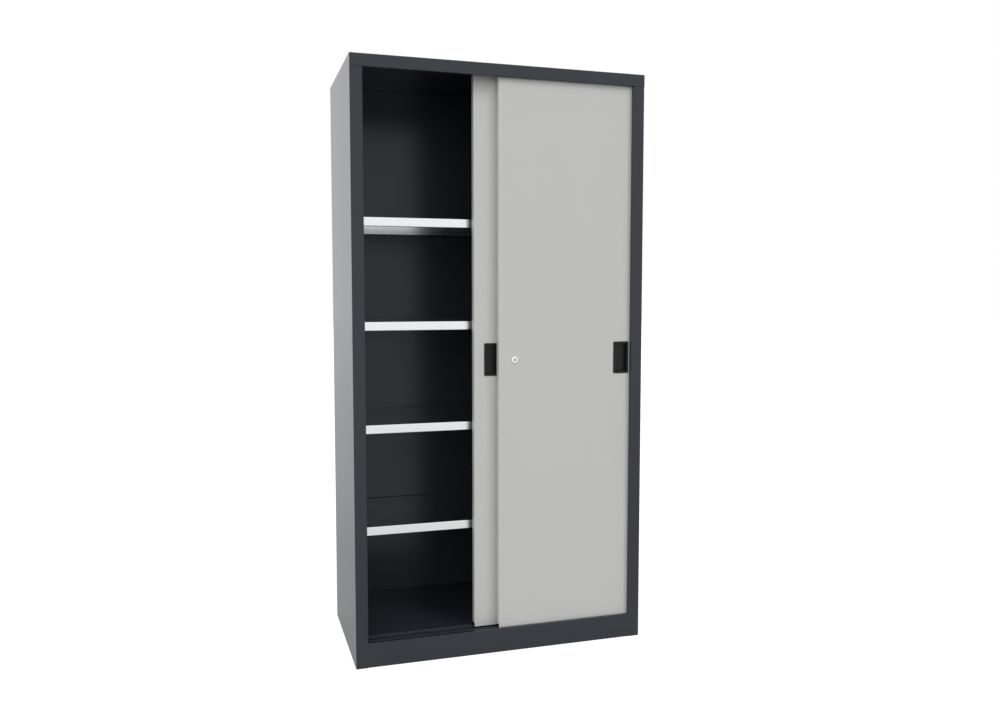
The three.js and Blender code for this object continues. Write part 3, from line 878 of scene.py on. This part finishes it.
for door in door_names:
    low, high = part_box(f"{door}_door_panel")
    centre_x = (low.x + high.x) / 2
    flange_bottom = low.z + apron_height
    pan_path = [
        (low.x + door_lip, high.y),
        (low.x, high.y),
        (low.x, low.y),
        (high.x, low.y),
        (high.x, high.y),
        (high.x - door_lip, high.y),
    ]
    pan = extrusion(f"{door}_door_sheet", "z", bent_section(pan_path), flange_bottom, high.z)
    flange_xs = (low.x + sheet / 2, high.x - sheet / 2)
    flange_ys = (low.y + sheet / 2, high.y)
    apron_xs = (low.x + sheet, high.x - sheet)
    combine(
        pan,
        "UNION",
        blocks("top_flange", (flange_xs, flange_ys, (high.z - sheet, high.z))),
        blocks("bottom_flange", (flange_xs, flange_ys, (flange_bottom, flange_bottom + sheet))),
        blocks("apron", (apron_xs, (low.y, low.y + sheet), (low.z, flange_bottom + fold))),
    )
    gaps = []
    for end in ("left", "right"):
        roller_x = centre_of(f"{door}_door_roller_{end}").x
        span = about(roller_x, bracket_half + bracket_gap)
        gaps.append((span, (low.y + sheet, high.y + overrun), (low.z, flange_bottom + fold)))
    handle_low, handle_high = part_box(f"{door}_door_handle")
    hole_gap = handle_rim - handle_wall - seam
    handle_hole = (
        (handle_low.x + hole_gap, handle_high.x - hole_gap),
        (low.y - overrun, low.y + sheet + overrun),
        (handle_low.z + hole_gap, handle_high.z - hole_gap),
    )
    combine(pan, "DIFFERENCE", blocks("bracket_gaps", *gaps), blocks("handle_hole", handle_hole))
    if door == "front":
        lock_axis = centre_of("lock_housing")
        hole_radius = barrel_radius + seam
        hole = round_bar("barrel_hole", lock_axis, hole_radius, low.y - overrun, low.y + overrun)
        combine(pan, "DIFFERENCE", hole)
    finish(pan, f"{door}_door", light_grey, f"{door}_door_panel")

    low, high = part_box(f"{door}_door_stiffener")
    left_x, right_x = about(centre_x, stiffener_width / 2)
    crown = low.y + stiffener_depth
    hat_path = [
        (low.x, low.y),
        (left_x, low.y),
        (left_x, crown),
        (right_x, crown),
        (right_x, low.y),
        (high.x, low.y),
    ]
    hat = extrusion(f"{door}_door_stiffener_sheet", "z", bent_section(hat_path), low.z, high.z)
    finish(hat, f"{door}_door", light_grey, f"{door}_door_stiffener")

# Handles
# Each is one black ABS moulding set flush in the skin: a flat rim round a shallow cup.
# A deeper trough along its right side gives the fingertips an edge to pull on.
handle_rim_thickness = 0.0015
handle_corner = 0.004
cup_depth = 0.008
trough_depth = 0.013
trough_width = 0.015
handle_round = 0.0008
mould_draft = 0.0004
corner_steps = 10

# ABS from a finely spark eroded mould is satin, with an IOR of 1.54 and a roughness near 0.45, both matched
# from there to the photograph's darker, duller cups. Its grain of 0.1 to 0.2 mm is drawn at 0.5 mm to show.
black_abs = fine_grained(
    "black_abs_moulded",
    colour="#0c0c0c",
    shade="#080808",
    roughness=0.52,
    grain_size=0.0005,
    grain_depth=0.000012,
    sockets={"IOR": 1.42},
)


def rounded_rectangle(low, high, radius):
    """The outline of a rectangle in X and Z with round corners."""
    outline = []
    corners = [(high.x, low.z, 1, -1), (high.x, high.z, 1, 1)]
    corners += [(low.x, high.z, -1, 1), (low.x, low.z, -1, -1)]
    for quarter, (x, z, right, up) in enumerate(corners):
        centre = complex(x - right * radius, z - up * radius)
        for step in range(corner_steps + 1):
            angle = math.pi / 2 * (quarter - 1 + step / corner_steps)
            outline.append(centre + cmath.rect(radius, angle))
    return outline


def tapered(name, xs, ys, zs, draft):
    """A block that narrows towards its far end, as a mould's core does."""
    piece = blocks(name, (xs, ys, zs))
    middle = Vector(((xs[0] + xs[1]) / 2, 0, (zs[0] + zs[1]) / 2))
    for vert in piece.data.vertices:
        if vert.co.y > (ys[0] + ys[1]) / 2:
            vert.co.x -= math.copysign(draft, vert.co.x - middle.x)
            vert.co.z -= math.copysign(draft, vert.co.z - middle.z)
    return piece


for door in door_names:
    low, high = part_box(f"{door}_door_handle")
    rim_back = low.y + handle_rim_thickness
    skin = rim_back + seam
    inner_low = low + Vector((handle_rim, 0, handle_rim))
    inner_high = high - Vector((handle_rim, 0, handle_rim))
    rim = rounded_rectangle(low, high, handle_corner)
    moulding = extrusion(f"{door}_door_handle_moulding", "y", rim, low.y, rim_back)

    # The trays are joined first and the cores cut after, so that cup and trough open into each other
    cup = (inner_low.x, inner_high.x, cup_depth)
    trough = (inner_high.x - trough_width, inner_high.x, trough_depth)
    for from_x, to_x, depth in (cup, trough):
        outside = (
            (from_x - handle_wall, to_x + handle_wall),
            (low.y + handle_rim_thickness / 2, skin + depth + handle_wall),
            (inner_low.z - handle_wall, inner_high.z + handle_wall),
        )
        combine(moulding, "UNION", blocks("tray", outside))
    for from_x, to_x, depth in (cup, trough):
        ys = (low.y - overrun, skin + depth)
        core = tapered("core", (from_x, to_x), ys, (inner_low.z, inner_high.z), mould_draft)
        combine(moulding, "DIFFERENCE", core)
    soften(moulding, handle_round)
    finish(moulding, f"{door}_door", black_abs, f"{door}_door_handle")

# Rollers
# A grooved nylon roller at each lower corner turns on a steel axle riveted through a bent bracket.
# The groove runs on the rail, and its flanges keep the door in its track.
bracket_sheet = 0.002
tread_radius = 0.012
roller_width = 0.01
roller_hub = 0.006
axle_radius = 0.003
axle_clearance = 0.0001
rail_groove = 0.0035
roller_round = 0.0006
roller_sides = 64
rivet_radius = 0.0045
rivet_height = 0.0008
sheared_edge = 0.00015

# Unfilled nylon is slightly waxy and lets a little light in, with an IOR of 1.53. Its mould's grain of
# about 0.1 mm is drawn at 0.8 mm to show.
nylon = fine_grained(
    "natural_nylon_moulded",
    colour="#e6e2d8",
    shade="#dfdacd",
    roughness=0.42,
    grain_size=0.0008,
    grain_depth=0.000006,
    sockets={"IOR": 1.53, "Subsurface Weight": 0.15, "Subsurface Scale": 0.002},
)

for door in door_names:
    for end in ("left", "right"):
        node = f"{door}_door_roller_{end}"
        low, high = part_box(node)
        centre = centre_of(node)
        outer = (high.z - low.z) / 2
        hub_end = (high.y - low.y) / 2
        half_profile = [
            (axle_radius + axle_clearance, hub_end),
            (roller_hub, hub_end),
            (roller_hub, roller_width / 2),
            (outer, roller_width / 2),
            (outer, rail_groove),
            (tread_radius, rail_groove),
        ]
        profile = [(radius, centre.y - along) for radius, along in half_profile]
        profile += [(radius, centre.y + along) for radius, along in half_profile[::-1]]
        roller = turned_ring(f"{node}_turning", centre, profile, roller_sides)
        soften(roller, roller_round)
        finish(roller, node, nylon, node)

        node = f"{door}_door_roller_bracket_{end}"
        low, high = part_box(node)
        bracket_section = bent_section(arch(low, high), bracket_sheet)
        bracket = extrusion(f"{node}_sheet", "x", bracket_section, low.x, high.x)
        plate_middle = high.y - bracket_sheet / 2
        axle = round_bar("axle", centre, axle_radius, low.y + bracket_sheet / 2, plate_middle)
        rivet = round_bar("rivet", centre, rivet_radius, plate_middle, high.y + rivet_height)
        combine(bracket, "UNION", axle, rivet)
        soften(bracket, sheared_edge, segments=2)
        finish(bracket, f"{door}_door", galvanised, node)

# Top guides
# Moulded nylon shoes on the doors' top flanges, with a tongue that slides in the channel overhead.
# The tongue's ends are rounded so that it doesn't catch.
guide_base_height = 0.004
guide_tongue_length = 0.03
guide_tongue_half = 0.006
guide_round = 0.001

for door in door_names:
    for end in ("left", "right"):
        node = f"{door}_door_guide_{end}"
        low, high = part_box(node)
        centre = centre_of(node)
        base = ((low.x, high.x), (low.y, high.y), (low.z, low.z + guide_base_height))
        guide = blocks(f"{node}_moulding", base)
        tongue_xs = about(centre.x, guide_tongue_length / 2)
        tongue = (tongue_xs, about(centre.y, guide_tongue_half), (low.z, high.z))
        combine(guide, "UNION", blocks("tongue", tongue))
        soften(guide, guide_round)
        finish(guide, f"{door}_door", nylon, node)

# Lock
# A nickel plated cam lock: a housing with a raised round rim, the plug with its keyhole, and a nut behind.
# The cam is screwed to the plug's square end and turns behind the door.
rim_radius = 0.0108
rim_height = 0.0037
rim_bevel = 0.0012
plug_radius = 0.006
lock_sides = 96
keyhole_width = 0.0025
keyhole_length = 0.008
keyhole_depth = 0.018
lock_round = 0.0002
shank_half = 0.0035
screw_radius = 0.002
screw_head_height = 0.0016
recess_half_width = 0.0012
recess_half_length = 0.003
recess_depth = 0.001
cam_width = 0.013
cam_hub_radius = 0.009
cam_reach = 0.046
cam_rest_angle = 330
nut_sides = 6

# Satin nickel is a white metal with a roughness near 0.2. The plug's nickel is rougher, and its colour is
# painted darker as painted shade for the lock's centre.
# The marks of polishing are a few hundredths of a millimetre wide, and are drawn at 0.6 and 0.4 mm to show.
nickel = fine_grained(
    "satin_nickel_plate_on_zinc_casting",
    colour="#fcfcfb",
    shade="#f8f8f6",
    roughness=0.2,
    grain_size=0.0006,
    grain_depth=0.000003,
    sockets={"Metallic": 1},
)
painted_shade_nickel = fine_grained(
    "nickel_plate_painted_darker_as_shade",
    colour="#dad8d3",
    shade="#d2d0ca",
    roughness=0.32,
    grain_size=0.0004,
    grain_depth=0.000004,
    sockets={"Metallic": 1},
)

low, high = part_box("lock_housing")
axis = centre_of("lock_housing")
front = low.y
skin = front + rim_height
bore = plug_radius + axle_clearance
housing = turned_ring(
    "lock_housing_turning",
    axis,
    [
        (bore, front),
        (rim_radius - rim_bevel, front),
        (rim_radius, front + rim_bevel),
        (rim_radius, skin),
        (barrel_radius, skin),
        (barrel_radius, high.y),
        (bore, high.y),
    ],
    lock_sides,
)
soften(housing, lock_round)
finish(housing, "front_door", nickel, "lock_housing")

barrel_end = high.y
low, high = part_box("lock_plug")
plug = round_bar("lock_plug_turning", axis, plug_radius, low.y, barrel_end, lock_sides)
shank = (about(axis.x, shank_half), (barrel_end - overrun, high.y), about(axis.z, shank_half))
combine(plug, "UNION", blocks("shank", shank))
keyhole = (
    about(axis.x, keyhole_width / 2),
    (low.y - overrun, low.y + keyhole_depth),
    about(axis.z, keyhole_length / 2),
)
screw_low, screw_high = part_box("lock_cam_screw")
screw_hole = round_bar("screw_hole", axis, screw_radius + seam, screw_low.y - seam, high.y + overrun)
combine(plug, "DIFFERENCE", blocks("keyhole", keyhole), screw_hole)
soften(plug, lock_round)
# The plug's darker nickel is painted shade for the lock's centre
finish(plug, "lock_barrel", painted_shade_nickel, "lock_plug")

low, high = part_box("lock_nut")
nut = round_bar("lock_nut_turning", axis, (high.x - low.x) / 2, low.y, high.y, nut_sides)
thread = round_bar("thread", axis, barrel_radius + seam, low.y - overrun, high.y + overrun)
combine(nut, "DIFFERENCE", thread)
soften(nut, lock_round)
finish(nut, "front_door", galvanised, "lock_nut")

low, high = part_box("lock_cam")
turn = Matrix.Rotation(-math.radians(cam_rest_angle), 4, "Y")
turn = Matrix.Translation(axis) @ turn @ Matrix.Translation(-axis)
arm = ((axis.x, axis.x + cam_reach), (low.y, high.y), about(axis.z, cam_width / 2))
cam = blocks("lock_cam_pressing", arm)
tip = axis + Vector((cam_reach, 0, 0))
cam_hub = round_bar("hub", axis, cam_hub_radius, low.y, high.y)
combine(cam, "UNION", cam_hub, round_bar("tip", tip, cam_width / 2, low.y, high.y))
cam.data.transform(turn)
hole_half = shank_half + seam
hole_ys = (low.y - overrun, high.y + overrun)
shank_hole = (about(axis.x, hole_half), hole_ys, about(axis.z, hole_half))
combine(cam, "DIFFERENCE", blocks("shank_hole", shank_hole))
soften(cam, lock_round, segments=2)
finish(cam, "lock_barrel", galvanised, "lock_cam")

head_front = screw_high.y - screw_head_height
head_radius = (screw_high.x - screw_low.x) / 2
screw = round_bar("lock_cam_screw_turning", axis, head_radius, head_front, screw_high.y)
combine(screw, "UNION", round_bar("shaft", axis, screw_radius, screw_low.y, head_front + sheet / 2))
recess_halves = (recess_half_width, recess_half_length)
recess_ys = (screw_high.y - recess_depth, screw_high.y + overrun)
for half_x, half_z in (recess_halves, recess_halves[::-1]):
    recess = (about(axis.x, half_x), recess_ys, about(axis.z, half_z))
    combine(screw, "DIFFERENCE", blocks("recess", recess))
soften(screw, lock_round)
finish(screw, "lock_barrel", galvanised, "lock_cam_screw")

# Lock strike
# A bent lug of galvanised sheet, spot welded to the rear door's face.
# The cam turns in beside it when both doors are closed.
strike_width = 0.005
low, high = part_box("lock_strike")
lug = ((high.x - sheet, high.x), (low.y, high.y), (low.z, high.z))
foot = ((low.x, high.x), (high.y - sheet, high.y), (low.z, high.z))
stop = ((high.x - strike_width, high.x), (low.y, low.y + sheet), (low.z, high.z))
strike = blocks("lock_strike_bent", lug)
combine(strike, "UNION", blocks("foot", foot), blocks("stop", stop))
soften(strike, sheared_edge, segments=2)
finish(strike, "rear_door", galvanised, "lock_strike")
